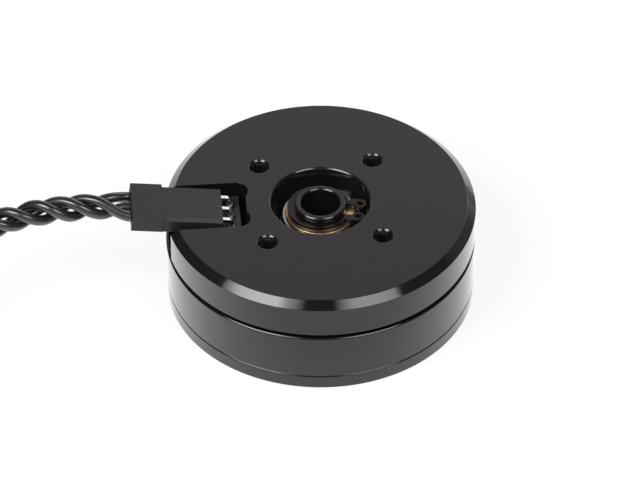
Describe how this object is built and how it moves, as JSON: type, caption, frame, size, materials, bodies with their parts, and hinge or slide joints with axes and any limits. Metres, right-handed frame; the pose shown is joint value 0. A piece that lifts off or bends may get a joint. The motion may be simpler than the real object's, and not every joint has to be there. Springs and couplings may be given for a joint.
{
  "type": "gimbal motor",
  "caption": "Flat hollow-shaft gimbal motor: dark turned stator base over a turning rotor bell, tapped mounting faces, and a plug-in twisted lead in a side slot.",
  "frame": {"origin": "centre of the rotor's outer face, on which the motor stands", "axes": "+Z along the spin axis from the rotor to the stator's mounting face, -X towards the connector slot"},
  "size_m": [0.1384, 0.0518, 0.0208],
  "materials": {
    "dark_anodised": "satin dark grey anodised",
    "dark_steel": "satin blackened",
    "lamination_steel": "lacquered sheet edges",
    "enamelled_copper": "enamelled copper wire",
    "black_board": "satin black solder mask",
    "plated_pins": "bright plated",
    "solder": "bright solder",
    "bearing_steel": "ground",
    "ball_steel": "polished",
    "cage_brass": "satin",
    "magnet": "nickel plated",
    "brass": "rolled sheet",
    "spring_steel": "phosphated",
    "plug_plastic": "moulded matte dark grey",
    "wire_black": "black flexible insulation",
    "tie_black": "woven black strap"
  },
  "bodies": {
    "stator": {"stator_base": "dark_anodised", "stator_core": "lamination_steel", "stator_windings": "enamelled_copper", "phase_wires": "enamelled_copper", "terminal_board": "black_board", "header_pins": "plated_pins", "solder_joints": "solder", "upper_bearing_outer_ring": "bearing_steel", "lower_bearing_outer_ring": "bearing_steel", "upper_bearing_shields": "bearing_steel", "lower_bearing_shields": "bearing_steel"},
    "rotor": {"rotor_end_cap": "dark_anodised", "flux_ring": "dark_steel", "rotor_magnets": "magnet", "hollow_shaft": "dark_steel", "shim_washer": "brass", "retaining_ring": "spring_steel", "upper_bearing_inner_ring": "bearing_steel", "lower_bearing_inner_ring": "bearing_steel"},
    "upper_ball_set": {"upper_bearing_balls": "ball_steel", "upper_bearing_cage": "cage_brass"},
    "lower_ball_set": {"lower_bearing_balls": "ball_steel", "lower_bearing_cage": "cage_brass"},
    "lead": {"plug_housing": "plug_plastic", "plug_contacts": "plated_pins", "lead_tube": "wire_black", "lead_coil": "wire_black", "coil_tie": "tie_black", "end_plug_housing": "plug_plastic", "end_plug_contacts": "plated_pins"}
  },
  "joints": [
    {"name": "rotor_spin", "type": "hinge", "parent": "stator", "child": "rotor", "pos_m": [0, 0, 0], "axis": [0, 0, 1], "continuous": true},
    {"name": "upper_ball_spin", "type": "hinge", "parent": "stator", "child": "upper_ball_set", "pos_m": [0, 0, 0.01275], "axis": [0, 0, 1], "continuous": true},
    {"name": "lower_ball_spin", "type": "hinge", "parent": "stator", "child": "lower_ball_set", "pos_m": [0, 0, 0.0052], "axis": [0, 0, 1], "continuous": true},
    {"name": "plug_pull", "type": "slide", "parent": "stator", "child": "lead", "axis": [-0.992, 0, 0.1262], "range_m": [0, 0.008]}
  ],
  "couplings": [
    {"joint": "upper_ball_spin", "follows": "rotor_spin", "ratio": 0.44},
    {"joint": "lower_ball_spin", "follows": "rotor_spin", "ratio": 0.44}
  ]
}
